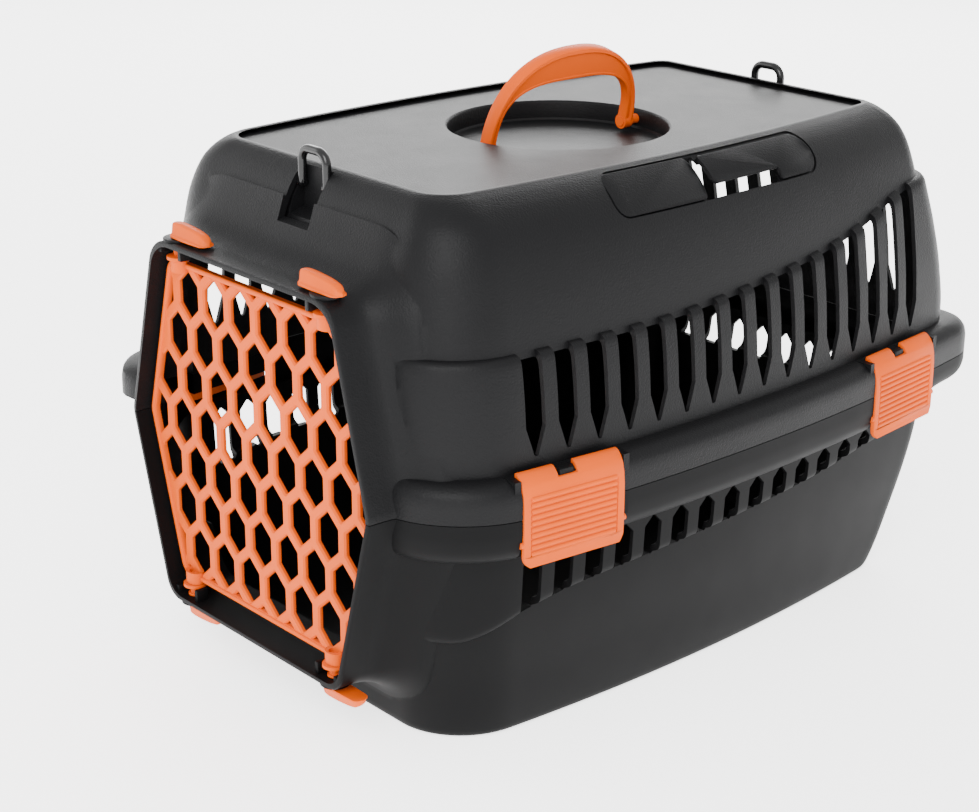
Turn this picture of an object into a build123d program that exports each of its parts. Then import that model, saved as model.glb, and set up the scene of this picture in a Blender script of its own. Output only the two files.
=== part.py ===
"""Small hard-plastic pet carrier: two moulded shells, grille door, keys, clips, handle, strap loops.

Millimetres. The origin is at the middle of the footprint, on the surface the carrier stands on.
-Y is the doorway end, +Y the closed end, +Z up.
"""
from build123d import *
import os
from math import cos, pi, sin, sqrt

# shell sizes
wall = 2.5
body_height = 301.5
seam_z = 142.3
side_bow_centre = -28.0          # Y of the widest place of the bowed sides
side_bow = 0.00036               # how fast the side falls in from there, per mm squared
crest_width = 6.0
panel_recess = 2.5

# each body level: height, half width, front Y, rear Y, plan corner radius
body_levels = [
    (0.0, 132.5, -196.0, 167.0, 40.0),
    (4.0, 136.5, -200.0, 171.0, 44.0),
    (74.0, 146.0, -207.0, 192.0, 46.0),
    (92.0, 151.0, -211.0, 205.0, 46.0),
    (126.0, 153.0, -214.0, 210.0, 48.0),
    (171.0, 154.0, -216.0, 215.0, 48.0),
    (228.0, 149.5, -214.0, 203.0, 46.0),
    (237.0, 145.0, -210.0, 199.0, 44.0),
    (268.0, 136.0, -199.0, 191.0, 40.0),
    (288.0, 124.0, -190.0, 188.0, 34.0),
    (297.0, 113.0, -185.5, 184.0, 29.0),
    (body_height, 106.5, -182.0, 179.0, 25.0),
]

# rim that both shells share: height, half width, front Y, rear Y, plan corner radius
rim_levels = [
    (122.0, 152.0, -213.0, 209.0, 50.0),
    (127.0, 161.0, -221.0, 232.0, 54.0),
    (133.0, 165.0, -224.0, 238.0, 56.0),
    (seam_z, 166.5, -225.0, 240.0, 56.0),
    (157.0, 166.5, -225.0, 240.0, 56.0),
    (166.0, 164.0, -223.0, 237.0, 55.0),
    (171.0, 158.0, -219.0, 226.0, 52.0),
]

# doorway collar
collar_front = -240.0
collar_top_z = 254.5
collar_bottom_z = 32.8
collar_half_top = 82.5
collar_half_seam = 112.5
collar_wall = 3.0
collar_flare = [(collar_front, 0.0), (-225.0, 1.0), (-217.0, 8.0), (-208.0, 19.0)]
collar_mid_z = (collar_top_z + collar_bottom_z) / 2
tunnel_depth = 50.0

# door
door_y = -231.0                  # middle plane of the door and the key axes
door_thickness = 4.0
door_side_gap = 3.0
door_end_gap = 10.0              # above and below, between the collar lip and the door
door_plate_set_back = 1.7        # the grille lies this far behind the key axes
door_frame = 6.0
door_rib = 6.6
cell_pitch_x = 25.0
cell_pitch_z = 26.4
cell_half_height = 14.6
cell_shoulder = 6.4
door_holes_least = 25.0          # smallest hole area that is cut, in square millimetres

# keys that hold the door's four corners
key_x = 68.0
key_shaft = 6.2
key_flat = 4.4
key_hole_clearance = 0.5
key_collar = 8.6
key_dish = 14.0
key_paddle_length = 40.0
key_paddle_width = 11.0
key_paddle_lift = 1.8             # the paddle's underside stands this far off the lip
key_paddle_height = 10.0
key_paddle_shift = {"top_left": 12.0, "top_right": -4.0, "bottom_left": 12.0, "bottom_right": 8.0}
socket_bore = 6.6
socket_mouth = 5.0
socket_width = 13.0
socket_depth = 10.0
socket_height = 7.0
part_gap = 0.4

# ventilation slots on both long sides
slot_count = 16
slot_pitch = 21.5
slot_first_y = -157.0
slot_width = 11.5
slot_tip_z = 170.5
slot_tip_height = 16.0
slot_neck = 2.0
upper_top_front_z = 229.0
upper_top_rear_z = 262.0
lower_slot_top_z = 121.0
lower_slot_front_z = 78.0
lower_slot_rear_z = 108.0
lower_slot_power = 0.62

# ventilation slots in the rear wall
rear_slot_count = 10
rear_slot_pitch = 21.0
rear_slot_width = 11.5
rear_upper_low_z = 175.0
rear_upper_high_z = 240.0
rear_lower_low_z = 96.0
rear_lower_high_z = 119.0

# seat-belt openings near the top of both sides
belt_height = 24.0
belt_centre_z = 288.0
belt_gap_y = -8.0
belt_gap_width = 9.0
belt_slot_length = 52.0
belt_slot_height = 7.0

# handle well in the top
dish_radius = 66.0
dish_centre_y = -5.5
dish_floor_z = 286.5
handle_pivot_z = 293.0
handle_half_width = 59.0
handle_height = 57.5
grip_inner_half = 52.5
grip_inner_height = 36.5
grip_inner_power = 3.3
handle_thickness = 9.0
handle_pin = 6.0
handle_pin_clearance = 0.2
handle_lean = 14.0               # degrees from upright towards +X, as it stands at rest

# clips on the long sides
clip_width = 66.0
clip_bottom_z = 111.0
clip_thickness = 2.4
clip_places = {"front": (-148.0, 6.4), "rear": (137.0, -6.0)}
clip_pivot_z = 128.0
clip_pin = 4.0
clip_pin_clearance = 0.2
clip_pin_length = 2.2
clip_pocket_depth = 4.0
clip_side_gap = 0.6
clip_hook_reach = 9.0
clip_notch_width = 15.0
clip_notch_depth = 7.0
catch_width = 11.0
catch_height = 2.4

# strap loops at the ends of the top
loop_rod = 5.0
loop_spacing = 22.0
loop_pivot_z = 291.0
loop_top_z = 313.0
loop_places = {"front": -186.0, "rear": 182.0}
loop_pin_length = 2.5
loop_pocket_width = 27.6
loop_pocket_floor_z = 283.5
loop_pocket_wall = 3.0


def bowed_x(half_width, y):
    """X of a bowed side at a place along its length."""
    return half_width - side_bow * (y - side_bow_centre) ** 2


def plan_face(level, inset=0.0, lift=0.0):
    """Bowed, round-cornered plan outline of one level, as a face."""
    z, half_width, y_front, y_rear, radius = level
    half = half_width - inset
    front = y_front + inset
    rear = y_rear - inset
    x_front = bowed_x(half, front)
    x_rear = bowed_x(half, rear)
    corners = [(x_front, front), (x_rear, rear), (-x_rear, rear), (-x_front, front)]
    with BuildSketch(Plane.XY.offset(z + lift)) as sketch:
        with BuildLine():
            ThreePointArc(corners[0], (half, side_bow_centre), corners[1])
            Line(corners[1], corners[2])
            ThreePointArc(corners[2], (-half, side_bow_centre), corners[3])
            Line(corners[3], corners[0])
        make_face()
        fillet(sketch.vertices(), max(radius - inset, 1.0))
    return sketch.sketch.faces()[0]


def level_stack(levels, inset=0.0, lift=0.0):
    """Solid through a list of plan levels."""
    return loft([plan_face(level, inset, lift) for level in levels], ruled=True)


def collar_face(y, grow):
    """Six-sided doorway outline at one depth, grown outwards by a distance."""
    half_end = collar_half_top + 0.75 * grow
    half_mid = collar_half_seam + grow
    points = [
        (-half_end, collar_top_z + grow),
        (half_end, collar_top_z + grow),
        (half_mid, collar_mid_z),
        (half_end, collar_bottom_z - grow),
        (-half_end, collar_bottom_z - grow),
        (-half_mid, collar_mid_z),
    ]
    with BuildSketch(Plane(origin=(0, y, 0), x_dir=(1, 0, 0), z_dir=(0, -1, 0))) as sketch:
        with BuildLine():
            Polyline(*points, close=True)
        make_face()
        fillet(sketch.vertices(), 8.0)
    return sketch.sketch.faces()[0]


def block(x0, x1, y0, y1, z0, z1):
    """Box between two corners."""
    box = Box(x1 - x0, y1 - y0, z1 - z0)
    return Pos((x0 + x1) / 2, (y0 + y1) / 2, (z0 + z1) / 2) * box


def rod(radius, start, end):
    """Round rod between two points."""
    axis = Vector(*end) - Vector(*start)
    plane = Plane(origin=start, z_dir=axis)
    return extrude(plane * Circle(radius), axis.length)


def prism_x(points, x0, x1):
    """Solid with an outline in Y and Z, drawn between two X values."""
    plane = Plane(origin=(x0, 0, 0), x_dir=(0, 1, 0), z_dir=(1, 0, 0))
    return extrude(plane * make_face(Polyline(*points, close=True)), x1 - x0)


def upper_slot_top(y):
    """Height of the rising line that the upper slots end at."""
    t = (y - slot_first_y) / (slot_pitch * (slot_count - 1))
    return upper_top_front_z + (upper_top_rear_z - upper_top_front_z) * t * (0.55 + 0.45 * t)


def lower_slot_bottom(y):
    """Height of the rising line that the lower slots end at."""
    t = (y - slot_first_y) / (slot_pitch * (slot_count - 1))
    return lower_slot_front_z + (lower_slot_rear_z - lower_slot_front_z) * max(t, 0.0) ** lower_slot_power


def slot_cutters():
    """Both rows of slots, cut through both sides at once."""
    cutters = []
    reach = 157.5
    for index in range(slot_count):
        y = slot_first_y + index * slot_pitch
        half = slot_width / 2
        upper = [
            (y - slot_neck, slot_tip_z),
            (y + slot_neck, slot_tip_z),
            (y + half, slot_tip_z + slot_tip_height),
            (y + half, upper_slot_top(y + half)),
            (y - half, upper_slot_top(y - half)),
            (y - half, slot_tip_z + slot_tip_height),
        ]
        lower = [
            (y - half, lower_slot_bottom(y - half)),
            (y + half, lower_slot_bottom(y + half)),
            (y + half, lower_slot_top_z),
            (y - half, lower_slot_top_z),
        ]
        for outline in (upper, lower):
            cutters.append(prism_x(outline, 120.0, reach))
            cutters.append(prism_x(outline, -reach, -120.0))
    return cutters


def rear_slot_cutters():
    """Both rows of slots in the rear wall."""
    plane = Plane(origin=(0, 225.0, 0), x_dir=(1, 0, 0), z_dir=(0, -1, 0))
    half = rear_slot_width / 2
    cutters = []
    for index in range(rear_slot_count):
        x = (index - (rear_slot_count - 1) / 2) * rear_slot_pitch
        upper = [
            (x - slot_neck, rear_upper_low_z),
            (x + slot_neck, rear_upper_low_z),
            (x + half, rear_upper_low_z + slot_tip_height),
            (x + half, rear_upper_high_z),
            (x - half, rear_upper_high_z),
            (x - half, rear_upper_low_z + slot_tip_height),
        ]
        lower = [
            (x - half, rear_lower_low_z),
            (x + half, rear_lower_low_z),
            (x + half, rear_lower_high_z - half),
            (x, rear_lower_high_z),
            (x - half, rear_lower_high_z - half),
        ]
        for outline in (upper, lower):
            cutters.append(extrude(plane * make_face(Polyline(*outline, close=True)), 50.0))
    return cutters


def clip_frame(side, place):
    """Local frame of a clip: origin on the pivot axis, X outwards, Y along the rim."""
    y, turn = clip_places[place]
    x = bowed_x(rim_levels[3][1], y) - clip_pocket_depth + clip_thickness
    if side > 0:
        return Location((x, y, clip_pivot_z), (0, 0, -turn))
    return Location((-x, y, clip_pivot_z), (0, 0, 180 + turn))


def each_clip():
    """The four clip places as name, side and place."""
    for place in ("front", "rear"):
        for side, side_name in ((1, "right"), (-1, "left")):
            yield "side_clip_" + place + "_" + side_name, side, place


def local_block(frame, x0, x1, y0, y1, z0, z1):
    """Box given in a local frame."""
    return frame * block(x0, x1, y0, y1, z0, z1)


clip_top_local = rim_levels[-1][0] + part_gap - clip_pivot_z
clip_bottom_local = clip_bottom_z - clip_pivot_z


def clip_seat(frame):
    """Solid block that fills the rim behind a clip."""
    half = clip_width / 2 + clip_side_gap + 4.0
    top = rim_levels[-1][0] - clip_pivot_z - 1.0
    return local_block(frame, -12.0, 1.0, -half, half, 129.0 - clip_pivot_z, top)


def clip_recess(frame):
    """Space that a clip and its swing take out of the rim."""
    half = clip_width / 2 + clip_side_gap
    low = clip_bottom_local - 2.0
    face = -clip_thickness - part_gap
    space = local_block(frame, face, 12.0, -half, half, low, clip_top_local + 12.0)
    swing = local_block(frame, -4.6, 12.0, -half, half, low, 3.4)
    pin_half = half + clip_pin_length + 0.5
    pin_hole = frame * rod(clip_pin / 2 + clip_pin_clearance, (0, -pin_half, 0), (0, pin_half, 0))
    return [space, swing, pin_hole]


def clip_catch(frame):
    """Small bar on the upper rim that stands in the clip's notch."""
    half = catch_width / 2
    base = rim_levels[-1][0] - clip_pivot_z
    return local_block(frame, -6.0, -3.2, -half, half, base - 6.0, base + catch_height)


def shell_whole():
    """Both shells as one hollow moulding, before they are parted at the seam."""
    outer = level_stack(body_levels) + level_stack(rim_levels)
    outer = outer + loft([collar_face(y, grow) for y, grow in collar_flare], ruled=True)
    inner_levels = [list(level) for level in body_levels]
    inner_levels[0][0] = wall
    inner_levels[1][0] = wall + 3.0
    inner_levels[-1][0] = body_height - panel_recess - wall
    inner_levels[-2][0] = body_height - panel_recess - wall - 4.0
    inner = level_stack(inner_levels, wall)
    rim_inner = [list(level) for level in rim_levels]
    rim_inner[0][0] += 4.0
    rim_inner[1][0] += 3.0
    rim_inner[-1][0] -= 3.0
    rim_inner[-2][0] -= 2.0
    rim_space = level_stack(rim_inner, wall)
    for name, side, place in each_clip():
        rim_space = rim_space - clip_seat(clip_frame(side, place))
    tunnel = extrude(collar_face(collar_front - 1.0, -collar_wall), -tunnel_depth - 1.0)
    return outer - inner - rim_space - tunnel


def top_panel_cut():
    """Shallow step that sinks the top panel inside its crest."""
    level = list(body_levels[-1])
    level[0] = body_height - panel_recess
    return extrude(plan_face(level, crest_width), panel_recess + 1.0)


def key_holes(z0, z1):
    """Holes for the key shafts through one lip of the collar."""
    radius = key_shaft / 2 + key_hole_clearance
    return [rod(radius, (x, door_y, z0), (x, door_y, z1)) for x in (-key_x, key_x)]


def key_swing_cutters(end):
    """Flat spots in the collar's flare that the short arms of the keys turn over."""
    sign = 1 if end == "top" else -1
    lip = collar_top_z if end == "top" else collar_bottom_z
    low = lip + sign * (key_paddle_lift - part_gap)
    high = lip + sign * (key_paddle_lift + key_paddle_height + 6.0)
    cutters = []
    for hand, x in (("left", -key_x), ("right", key_x)):
        short_arm = key_paddle_length / 2 - abs(key_paddle_shift[end + "_" + hand])
        radius = sqrt(short_arm ** 2 + (key_paddle_width / 2) ** 2) + 1.0
        cutters.append(rod(radius, (x, door_y, low), (x, door_y, high)))
    return cutters


def loop_housing(y, facing):
    """Block under the crest that a strap loop stands in, with its pocket and pin holes."""
    half = loop_pocket_width / 2
    outer_half = half + loop_pocket_wall
    rod_radius = loop_rod / 2
    back = y - facing * (rod_radius + part_gap)
    front = y + facing * 30.0
    deep = back - facing * loop_pocket_wall
    top = body_height - panel_recess
    y0, y1 = sorted((deep, y + facing * 2.0))
    housing = block(-outer_half, outer_half, y0, y1, loop_pocket_floor_z - wall, top)
    c0, c1 = sorted((back, front))
    pocket = block(-half, half, c0, c1, loop_pocket_floor_z, body_height + 5.0)
    pin_half = half + loop_pin_length + 0.3
    pins = rod(rod_radius + 0.15, (-pin_half, y, loop_pivot_z), (pin_half, y, loop_pivot_z))
    return housing, pocket, pins


def belt_cutters(side):
    """Openings in one side for a seat belt: a gap between two tongues and a slot below one."""
    x0, x1 = sorted((side * 90.0, side * 160.0))
    half = belt_height / 2
    gap = block(
        x0, x1, belt_gap_y - belt_gap_width / 2, belt_gap_y + belt_gap_width / 2,
        belt_centre_z - half, belt_centre_z + half - 4.0,
    )
    slot = block(
        x0, x1, belt_gap_y, belt_gap_y + belt_slot_length,
        belt_centre_z - half, belt_centre_z - half + belt_slot_height,
    )
    return [gap, slot]


def make_upper_shell(whole):
    """Upper shell with its top panel, handle well, slots, belt openings and loop pockets."""
    shell = whole & block(-200, 200, -260, 260, seam_z, 340)
    shell = shell - top_panel_cut()
    well_outer = rod(
        dish_radius + wall, (0, dish_centre_y, dish_floor_z - wall),
        (0, dish_centre_y, body_height - panel_recess),
    )
    well_inner = rod(
        dish_radius, (0, dish_centre_y, dish_floor_z), (0, dish_centre_y, body_height + 2.0)
    )
    shell = shell + well_outer - well_inner
    reach = dish_radius + wall + 1.0
    shell = shell - rod(
        (handle_pin + handle_pin_clearance) / 2,
        (0, dish_centre_y - reach, handle_pivot_z), (0, dish_centre_y + reach, handle_pivot_z),
    )
    for place, facing in (("front", -1), ("rear", 1)):
        housing, pocket, pins = loop_housing(loop_places[place], facing)
        shell = shell + housing - pocket - pins
    for name, side, place in each_clip():
        frame = clip_frame(side, place)
        for cutter in clip_recess(frame):
            shell = shell - cutter
        shell = shell + clip_catch(frame)
    for side in (1, -1):
        for cutter in belt_cutters(side):
            shell = shell - cutter
    holes = key_holes(collar_top_z - 12.0, collar_top_z + 4.0)
    for cutter in slot_cutters() + rear_slot_cutters() + holes + key_swing_cutters("top"):
        shell = shell - cutter
    return largest(shell)


def make_lower_shell(whole):
    """Lower shell with its slots, clip seats and the lip under the doorway."""
    shell = whole & block(-200, 200, -260, 260, -1, seam_z)
    for name, side, place in each_clip():
        for cutter in clip_recess(clip_frame(side, place)):
            shell = shell - cutter
    holes = key_holes(collar_bottom_z - 4.0, collar_bottom_z + 12.0)
    for cutter in slot_cutters() + rear_slot_cutters() + holes + key_swing_cutters("bottom"):
        shell = shell - cutter
    return largest(shell)


def largest(shape):
    """The largest solid of a shape."""
    return max(shape.solids(), key=lambda solid: solid.volume)


def door_outline(inset):
    """Six-sided door outline, inset from its edge."""
    side = collar_wall + door_side_gap + inset
    top = collar_top_z - collar_wall - door_end_gap - inset
    bottom = collar_bottom_z + collar_wall + door_end_gap + inset
    mid_half = collar_half_seam - side
    slope = (collar_half_seam - collar_half_top) / (collar_top_z - collar_mid_z)
    end_half = mid_half - slope * (top - collar_mid_z)
    points = [
        (-end_half, top), (end_half, top), (mid_half, collar_mid_z),
        (end_half, bottom), (-end_half, bottom), (-mid_half, collar_mid_z),
    ]
    return make_face(Polyline(*points, close=True))


def cell_outline(x, z):
    """One upright six-sided cell of the grille."""
    half = (cell_pitch_x - door_rib) / 2
    points = [
        (x, z + cell_half_height), (x + half, z + cell_shoulder), (x + half, z - cell_shoulder),
        (x, z - cell_half_height), (x - half, z - cell_shoulder), (x - half, z + cell_shoulder),
    ]
    return make_face(Polyline(*points, close=True))


def make_door_grille():
    """Grille door with open sockets at its four corners."""
    plane = Plane(origin=(0, door_y + door_plate_set_back, 0), x_dir=(1, 0, 0), z_dir=(0, -1, 0))
    plate = extrude(plane * door_outline(0.0), door_thickness / 2, both=True)
    field = door_outline(door_frame)
    holes = []
    for row in range(-4, 5):
        offset = cell_pitch_x / 2 if row % 2 else 0.0
        for column in range(-5, 6):
            x = column * cell_pitch_x + offset
            z = collar_mid_z + row * cell_pitch_z
            hole = cell_outline(x, z) & field
            for face in hole.faces():
                if face.area > door_holes_least:
                    holes.append(extrude(plane * face, door_thickness, both=True))
    plate = plate - holes
    top = collar_top_z - collar_wall - door_end_gap
    bottom = collar_bottom_z + collar_wall + door_end_gap
    for x in (-key_x, key_x):
        for z, up in ((top, 1), (bottom, -1)):
            z0, z1 = sorted((z + up * 1.5, z - up * (socket_height - 1.5)))
            socket = block(
                x - socket_width / 2, x + socket_width / 2,
                door_y - socket_depth / 2, door_y + socket_depth / 2, z0, z1,
            )
            bore = rod(socket_bore / 2, (x, door_y, z0 - 8.0), (x, door_y, z1 + 8.0))
            mouth = block(
                x - socket_mouth / 2, x + socket_mouth / 2,
                door_y, door_y + socket_depth, z0 - 8.0, z1 + 8.0,
            )
            plate = plate + socket - bore - mouth
    return largest(plate)


def make_key(name):
    """One quarter-turn key: paddle outside, shaft through the lip, dish and flatted tip inside."""
    x = -key_x if "left" in name else key_x
    length = key_paddle_length
    shift = key_paddle_shift[name]
    lip = collar_wall
    shaft_end = -(lip + door_end_gap + 4.0)
    shaft = rod(key_shaft / 2, (0, 0, key_paddle_lift + 1.0), (0, 0, -lip - 6.5))
    tip = rod(key_shaft / 2, (0, 0, -lip - 6.5), (0, 0, shaft_end))
    tip = tip & block(-key_flat / 2, key_flat / 2, -6, 6, shaft_end - 1, 0)
    collar = rod(key_collar / 2, (0, 0, -lip - part_gap), (0, 0, -lip - part_gap - 1.4))
    dish_top = -lip - door_end_gap + 1.5 + part_gap + 1.8
    dish = rod(key_dish / 2, (0, 0, dish_top), (0, 0, dish_top - 1.8))
    paddle = block(
        shift - length / 2, shift + length / 2, -key_paddle_width / 2, key_paddle_width / 2,
        key_paddle_lift, key_paddle_lift + key_paddle_height,
    )
    upright = paddle.edges().filter_by(Axis.Z)
    paddle = fillet(upright, 5.0)
    paddle = chamfer(paddle.faces().sort_by(Axis.Z)[-1].edges(), 2.5)
    key = shaft + tip + collar + dish + paddle
    if "top" in name:
        return largest(Pos(x, door_y, collar_top_z) * key)
    return largest(Pos(x, door_y, collar_bottom_z) * mirror(key, Plane.XY))


def make_clip(side, place):
    """Side clip: ribbed front, hook over the upper rim, thumb tab below the pivot."""
    half = clip_width / 2
    plate = block(-clip_thickness, 0, -half, half, clip_bottom_local, clip_top_local + clip_thickness)
    hook = block(
        -clip_hook_reach, 0, -half, half, clip_top_local, clip_top_local + clip_thickness
    )
    notch = block(
        -clip_hook_reach - 1, 1, -clip_notch_width / 2, clip_notch_width / 2,
        clip_top_local + clip_thickness - clip_notch_depth, clip_top_local + 6,
    )
    clip = plate + hook - notch
    rib_start = clip_bottom_local + 7.0
    for index in range(10):
        z = rib_start + index * 3.6
        clip = clip + block(-0.2, 0.8, -half + 5, half - 5, z, z + 1.8)
    barrel = rod(clip_pin / 2, (0, -half - clip_pin_length, 0), (0, half + clip_pin_length, 0))
    clip = clip + Pos(0, 0, 0) * barrel
    return largest(clip_frame(side, place) * clip)


def make_handle():
    """Arched carry handle with its two pivot pins, leaning as it stands at rest."""
    steps = 24
    outer = []
    inner = []
    for index in range(steps + 1):
        angle = pi * index / steps
        c = cos(angle)
        s = sin(angle)
        outer.append((handle_half_width * c, handle_height * s))
        power = 2.0 / grip_inner_power
        x = grip_inner_half * abs(c) ** power * (1 if c >= 0 else -1)
        inner.append((x, grip_inner_height * max(s, 0.0) ** power))
    plane = Plane(origin=(0, 0, 0), x_dir=(0, 1, 0), z_dir=(1, 0, 0))
    outline = [Spline(*outer), Line(outer[-1], inner[-1]), Spline(*inner), Line(inner[0], outer[0])]
    arch = extrude(plane * make_face(outline), handle_thickness / 2, both=True)
    foot_radius = handle_thickness / 2
    for sign in (-1, 1):
        start = (0, sign * grip_inner_half, 0)
        arch = arch + rod(foot_radius, start, (0, sign * handle_half_width, 0))
        pin_end = (0, sign * (dish_radius + wall - 0.5), 0)
        arch = arch + rod(handle_pin / 2, start, pin_end)
    place = Location((0, dish_centre_y, handle_pivot_z)) * Rotation(0, handle_lean, 0)
    return largest(place * arch)


def make_loop(place):
    """U-shaped strap loop with its two pivot pins."""
    y = loop_places[place]
    radius = loop_rod / 2
    half = loop_spacing / 2
    top = loop_top_z - radius
    bend = 7.0
    path = FilletPolyline(
        (-half, y, loop_pivot_z), (-half, y, top), (half, y, top), (half, y, loop_pivot_z),
        radius=bend,
    )
    section = Plane(origin=(-half, y, loop_pivot_z), z_dir=(0, 0, 1)) * Circle(radius)
    loop = sweep(section, path=path)
    pin_half = loop_pocket_width / 2 + loop_pin_length
    for sign in (-1, 1):
        loop = loop + rod(
            radius, (sign * (half - 2.0), y, loop_pivot_z), (sign * pin_half, y, loop_pivot_z)
        )
    return largest(loop)


def main():
    """Build every piece and write it to its own file."""
    os.makedirs("parts", exist_ok=True)
    whole = shell_whole()
    pieces = {"upper_shell": make_upper_shell(whole), "lower_shell": make_lower_shell(whole)}
    pieces["door_grille"] = make_door_grille()
    for name in ("top_left", "top_right", "bottom_left", "bottom_right"):
        pieces["door_key_" + name] = make_key(name)
    for name, side, place in each_clip():
        pieces[name] = make_clip(side, place)
    pieces["carry_handle"] = make_handle()
    for place in ("front", "rear"):
        pieces["strap_loop_" + place] = make_loop(place)
    for name, piece in pieces.items():
        export_step(piece, "parts/" + name + ".step")


main()
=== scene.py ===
"""Looks of the pet carrier: detailed pieces, materials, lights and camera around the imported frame."""
from math import cos, pi, radians, sin
import bmesh
import bpy
import numpy as np
from mathutils import Matrix, Vector


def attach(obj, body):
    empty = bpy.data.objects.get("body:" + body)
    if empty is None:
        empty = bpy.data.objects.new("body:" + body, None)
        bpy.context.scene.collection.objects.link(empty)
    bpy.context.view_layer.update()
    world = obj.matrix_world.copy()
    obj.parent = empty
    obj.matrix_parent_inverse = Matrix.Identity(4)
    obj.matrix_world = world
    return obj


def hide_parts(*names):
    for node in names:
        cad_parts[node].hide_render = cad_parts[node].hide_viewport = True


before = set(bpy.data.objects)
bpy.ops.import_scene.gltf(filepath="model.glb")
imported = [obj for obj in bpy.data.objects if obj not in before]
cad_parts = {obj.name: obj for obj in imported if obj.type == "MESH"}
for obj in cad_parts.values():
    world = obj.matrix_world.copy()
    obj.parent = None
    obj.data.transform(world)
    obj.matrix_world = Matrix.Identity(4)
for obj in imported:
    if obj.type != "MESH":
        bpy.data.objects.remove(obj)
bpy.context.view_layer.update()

# All lengths below are millimetres, apart from those of materials, lights and camera.
MM = 0.001
WALL = 2.5  # shell thickness
SEAM = 142.3  # height of the line between the two shells
SEAM_GAP = 0.25  # half the gap there
BODY_TOP = 301.5
BOW = 0.00036  # how fast the sides draw in, away from BOW_CENTRE
BOW_CENTRE = -28.0
REAR_CORNER = 0.5  # radius of the rear corners, as a share of the front ones
SIDE_STEPS, CORNER_STEPS, END_STEPS = 90, 16, 40

# height, half width, front Y, rear Y, plan corner radius of the wall behind the raised band
BODY = np.array([
    (0.0, 130.5, -194.0, 170.0, 38.0), (0.8, 133.3, -196.8, 172.8, 40.0),
    (2.5, 135.4, -198.9, 175.4, 42.0), (5.0, 136.4, -200.0, 177.6, 43.0),
    (40.0, 141.2, -203.0, 193.0, 43.0), (74.0, 145.6, -206.5, 204.0, 43.0),
    (92.0, 147.0, -207.2, 209.0, 43.0), (126.0, 148.6, -209.5, 214.0, 43.0),
    (171.0, 149.4, -211.5, 216.5, 43.0), (200.0, 147.6, -211.0, 213.0, 43.0),
    (228.0, 143.8, -209.0, 207.0, 42.0), (250.0, 139.8, -205.5, 201.0, 41.0),
    (268.0, 135.0, -202.0, 197.0, 37.0), (280.0, 130.4, -197.6, 194.0, 33.0),
    (288.0, 125.4, -193.6, 191.0, 29.0), (294.0, 119.4, -189.6, 187.6, 26.0),
    (298.0, 113.4, -186.0, 184.0, 23.0), (300.4, 108.8, -183.4, 181.0, 21.0),
    (301.5, 106.0, -181.6, 178.8, 20.0),
])
# the same for the raised rim
RIM = np.array([
    (113.5, 150.0, -211.0, 207.0, 46.0), (115.5, 154.0, -214.0, 217.0, 49.0),
    (118.0, 159.0, -218.5, 227.0, 52.0), (121.5, 163.4, -222.2, 234.6, 54.5),
    (127.0, 165.7, -224.2, 238.6, 56.0), (135.0, 166.5, -225.0, 240.0, 56.0),
    (151.0, 166.5, -225.0, 240.0, 56.0), (156.0, 165.9, -224.4, 239.2, 55.6),
    (159.6, 164.0, -222.9, 236.8, 54.6), (162.0, 160.6, -220.4, 231.0, 52.4),
    (163.6, 156.6, -217.4, 223.0, 49.5), (164.2, 151.0, -212.0, 213.0, 46.0),
])
# Y, height of the ledges above the upper slots and below the lower ones
UPPER_LINE = np.array([
    (-230.0, 224.8), (-186.0, 225.0), (-140.0, 225.3), (-60.0, 225.9), (-38.0, 226.8), (-17.0, 228.2),
    (4.0, 229.6), (26.0, 231.5), (47.0, 233.6), (69.0, 235.9), (90.0, 238.8), (112.0, 242.8),
    (133.0, 247.6), (155.0, 253.4), (180.0, 258.0), (215.0, 260.0),
])
LOWER_LINE = np.array([
    (-230.0, 64.0), (-200.0, 64.5), (-190.0, 68.0), (-176.0, 74.5), (-165.0, 79.0), (-121.0, 86.0),
    (-52.0, 89.5), (13.0, 92.5), (73.0, 96.0), (123.0, 101.0), (150.0, 102.0), (185.0, 99.5), (215.0, 98.0),
])
# height from the ledge line, outward offset of the band between the two lines
UPPER_STEP = [(-7.0, 4.6), (-4.0, 4.5), (-2.4, 4.15), (-1.2, 3.4), (-0.4, 2.3), (0.0, 1.2), (0.25, 0.0),
              (1.6, 0.0)]
LOWER_STEP = [(-2.0, 0.0), (-0.4, 0.0), (0.0, 1.0), (0.7, 2.4), (1.7, 3.6), (3.2, 4.3), (5.0, 4.6)]


def smooth_curve(xs, ys, x):
    """Monotone cubic through the given points."""
    xs = np.asarray(xs, float)
    ys = np.asarray(ys, float)
    x = np.clip(x, xs[0], xs[-1])
    step = np.diff(xs)
    slope = np.diff(ys) / step
    tangent = np.zeros(len(xs))
    tangent[0], tangent[-1] = slope[0], slope[-1]
    for i in range(1, len(xs) - 1):
        a, b = slope[i - 1], slope[i]
        tangent[i] = 2 * a * b / (a + b) if a * b > 0 else 0.0
    i = np.clip(np.searchsorted(xs, x) - 1, 0, len(xs) - 2)
    t = (x - xs[i]) / step[i]
    return ((2 * t**3 - 3 * t**2 + 1) * ys[i] + (t**3 - 2 * t**2 + t) * step[i] * tangent[i]
            + (3 * t**2 - 2 * t**3) * ys[i + 1] + (t**3 - t**2) * step[i] * tangent[i + 1])


def table(rows, z, column):
    return smooth_curve(rows[:, 0], rows[:, column], z)


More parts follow.
